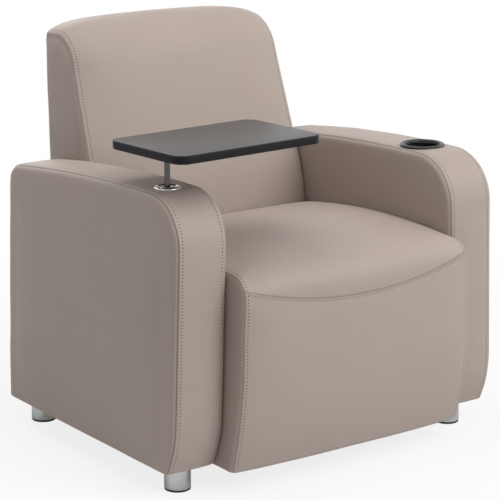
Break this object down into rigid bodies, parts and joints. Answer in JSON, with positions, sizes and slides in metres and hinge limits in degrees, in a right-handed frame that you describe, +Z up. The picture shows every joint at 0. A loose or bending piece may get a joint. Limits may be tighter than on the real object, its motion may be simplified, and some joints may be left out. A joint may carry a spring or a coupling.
{
  "type": "tablet arm chair",
  "caption": "Upholstered lounge chair with padded arms, a writing tablet that swivels on a post above an arm, a cup holder let into the other arm, and round bright legs.",
  "frame": {"origin": "on the floor under the middle of the chair's box", "axes": "+Z up, front of the chair towards -Y, +X towards the arm with the cup holder"},
  "size_m": [0.7814, 0.7324, 0.829],
  "materials": {
    "upholstery": "fine-grained soft leather-look cover, low sheen",
    "foam": "cut cushion foam",
    "frame_wood": "raw plywood and softwood",
    "plain_steel": "zinc-plated steel",
    "bright_chrome": "polished chrome plate",
    "glide_rubber": "black moulded foot plug",
    "cup_plastic": "black moulded plastic",
    "bearing_nylon": "natural nylon",
    "tablet_core": "black-backed fibreboard",
    "tablet_laminate": "dark grey satin laminate",
    "tablet_edge": "black edge band",
    "felt": "needled felt",
    "strap_webbing": "woven elastic webbing",
    "dust_cloth": "black non-woven cloth"
  },
  "bodies": {
    "chair": {"arm_bolts": "plain_steel", "arm_tee_nuts": "plain_steel", "back_cover": "upholstery", "back_foam": "foam", "back_posts": "frame_wood", "back_rails": "frame_wood", "back_rear_board": "frame_wood", "back_straps": "strap_webbing", "cup_holder": "cup_plastic", "dust_cover": "dust_cloth", "front_left_glide": "glide_rubber", "front_left_leg": "bright_chrome", "front_right_glide": "glide_rubber", "front_right_leg": "bright_chrome", "left_arm_boards": "frame_wood", "left_arm_cover": "upholstery", "left_arm_foam": "foam", "left_arm_rails": "frame_wood", "leg_studs": "plain_steel", "leg_tee_nuts": "plain_steel", "lower_bush": "bearing_nylon", "post_block": "frame_wood", "post_flange": "bright_chrome", "post_socket": "plain_steel", "rear_left_glide": "glide_rubber", "rear_left_leg": "bright_chrome", "rear_right_glide": "glide_rubber", "rear_right_leg": "bright_chrome", "right_arm_boards": "frame_wood", "right_arm_cover": "upholstery", "right_arm_foam": "foam", "right_arm_rails": "frame_wood", "seat_corner_blocks": "frame_wood", "seat_cover": "upholstery", "seat_deck_pad": "felt", "seat_foam": "foam", "seat_front_rail": "frame_wood", "seat_rear_rail": "frame_wood", "seat_side_rails": "frame_wood", "seat_springs": "plain_steel", "socket_screws": "plain_steel", "spring_clips": "plain_steel", "thrust_pad": "bearing_nylon", "upper_bush": "bearing_nylon"},
    "tablet": {"tablet_post": "bright_chrome", "hub_plate": "plain_steel", "hub_screws": "plain_steel", "tablet_board": "tablet_core", "tablet_laminate": "tablet_laminate", "tablet_edge_band": "tablet_edge"}
  },
  "joints": [
    {"name": "tablet_swivel", "type": "hinge", "parent": "chair", "child": "tablet", "pos_m": [-0.326, -0.191, 0.6], "axis": [0, 0, 1], "continuous": true}
  ]
}
